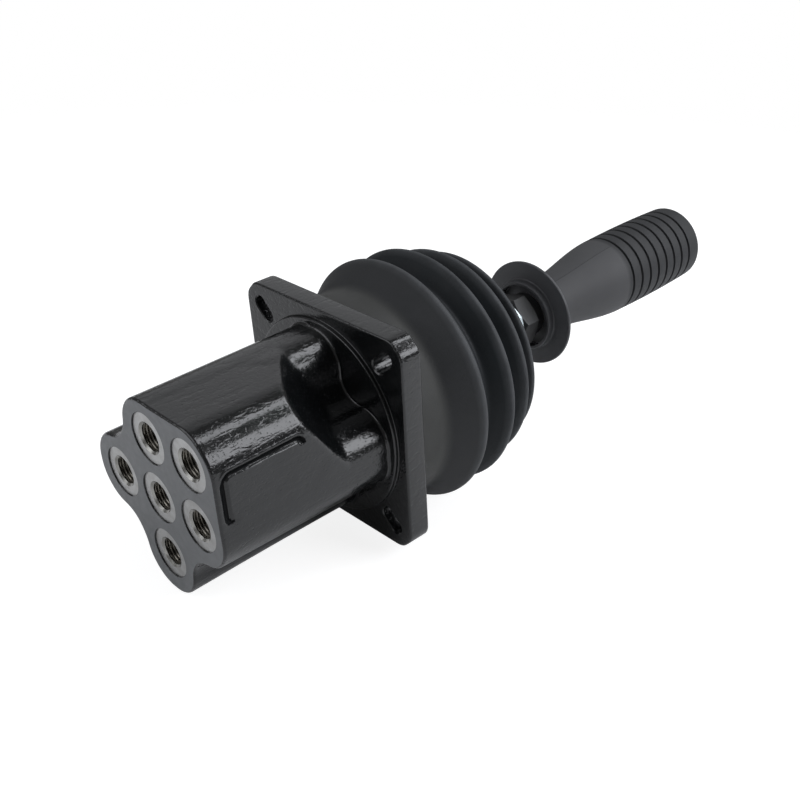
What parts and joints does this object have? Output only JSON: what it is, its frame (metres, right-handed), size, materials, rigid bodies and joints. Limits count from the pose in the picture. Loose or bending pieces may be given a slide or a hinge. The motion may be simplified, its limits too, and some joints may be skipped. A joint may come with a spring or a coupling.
{
  "type": "hydraulic joystick",
  "caption": "Hydraulic pilot control valve with a lobed body, square flange, threaded oil ports, rubber bellows and a tilting lever with a grooved grip.",
  "frame": {"origin": "centre of the flange's underside, the face that seats on the panel", "axes": "+Z along the lever at rest towards the grip, +X and +Y along the flange's edges, -Z the way the oil ports open"},
  "size_m": [0.1128, 0.1128, 0.3347],
  "materials": {
    "cast_body": "gloss",
    "steel": "satin",
    "zinc": "bright",
    "black_steel": "satin",
    "brass": "satin",
    "rubber": "matte",
    "grip_plastic": "semi-matte"
  },
  "bodies": {
    "housing": {"valve_body": "cast_body", "plunger_guides": "brass", "guide_orings": "rubber", "wiper_seals": "rubber", "retainer_plate": "steel", "retainer_screws": "black_steel", "joint_base": "steel", "joint_base_bushes": "brass", "rubber_bellows": "rubber", "return_spring_right": "steel", "return_spring_front": "steel", "return_spring_left": "steel", "return_spring_back": "steel"},
    "gimbal": {"gimbal_cross": "steel"},
    "lever": {"upper_yoke": "steel", "upper_yoke_bushes": "brass", "cam_plate": "steel", "cam_washer": "zinc", "cam_lock_nut": "zinc", "lever_rod": "steel", "lever_nut": "zinc", "coupling_nut": "black_steel", "grip_insert": "brass", "grip": "grip_plastic"},
    "plunger_right": {"plunger_right": "steel", "spring_seat_right": "steel"},
    "plunger_front": {"plunger_front": "steel", "spring_seat_front": "steel"},
    "plunger_left": {"plunger_left": "steel", "spring_seat_left": "steel"},
    "plunger_back": {"plunger_back": "steel", "spring_seat_back": "steel"},
    "spool_right": {"spool_right": "steel", "metering_spring_right": "steel"},
    "spool_front": {"spool_front": "steel", "metering_spring_front": "steel"},
    "spool_left": {"spool_left": "steel", "metering_spring_left": "steel"},
    "spool_back": {"spool_back": "steel", "metering_spring_back": "steel"}
  },
  "joints": [
    {"name": "tilt_x", "type": "hinge", "parent": "housing", "child": "gimbal", "pos_m": [0, 0, 0.029], "axis": [1, 0, 0], "range_deg": [-19, 19], "stiffness_Nm_per_rad": 6, "deforming": ["rubber_bellows"]},
    {"name": "tilt_y", "type": "hinge", "parent": "gimbal", "child": "lever", "pos_m": [0, 0, 0.029], "axis": [0, 1, 0], "range_deg": [-19, 19], "stiffness_Nm_per_rad": 6},
    {"name": "plunger_right_slide", "type": "slide", "parent": "housing", "child": "plunger_right", "axis": [0, 0, 1], "range_m": [-0.0095, 0.0095], "deforming": ["return_spring_right", "metering_spring_right"]},
    {"name": "plunger_front_slide", "type": "slide", "parent": "housing", "child": "plunger_front", "axis": [0, 0, 1], "range_m": [-0.0095, 0.0095], "deforming": ["return_spring_front", "metering_spring_front"]},
    {"name": "plunger_left_slide", "type": "slide", "parent": "housing", "child": "plunger_left", "axis": [0, 0, 1], "range_m": [-0.0095, 0.0095], "deforming": ["return_spring_left", "metering_spring_left"]},
    {"name": "plunger_back_slide", "type": "slide", "parent": "housing", "child": "plunger_back", "axis": [0, 0, 1], "range_m": [-0.0095, 0.0095], "deforming": ["return_spring_back", "metering_spring_back"]},
    {"name": "spool_right_slide", "type": "slide", "parent": "housing", "child": "spool_right", "axis": [0, 0, 1], "range_m": [-0.002, 0.002]},
    {"name": "spool_front_slide", "type": "slide", "parent": "housing", "child": "spool_front", "axis": [0, 0, 1], "range_m": [-0.002, 0.002]},
    {"name": "spool_left_slide", "type": "slide", "parent": "housing", "child": "spool_left", "axis": [0, 0, 1], "range_m": [-0.002, 0.002]},
    {"name": "spool_back_slide", "type": "slide", "parent": "housing", "child": "spool_back", "axis": [0, 0, 1], "range_m": [-0.002, 0.002]}
  ],
  "couplings": [
    {"joint": "plunger_right_slide", "follows": "tilt_y", "m_per_rad": -0.0286},
    {"joint": "plunger_front_slide", "follows": "tilt_x", "m_per_rad": 0.0286},
    {"joint": "plunger_left_slide", "follows": "tilt_y", "m_per_rad": 0.0286},
    {"joint": "plunger_back_slide", "follows": "tilt_x", "m_per_rad": -0.0286},
    {"joint": "spool_right_slide", "follows": "tilt_y", "m_per_rad": -0.006},
    {"joint": "spool_front_slide", "follows": "tilt_x", "m_per_rad": 0.006},
    {"joint": "spool_left_slide", "follows": "tilt_y", "m_per_rad": 0.006},
    {"joint": "spool_back_slide", "follows": "tilt_x", "m_per_rad": -0.006}
  ]
}
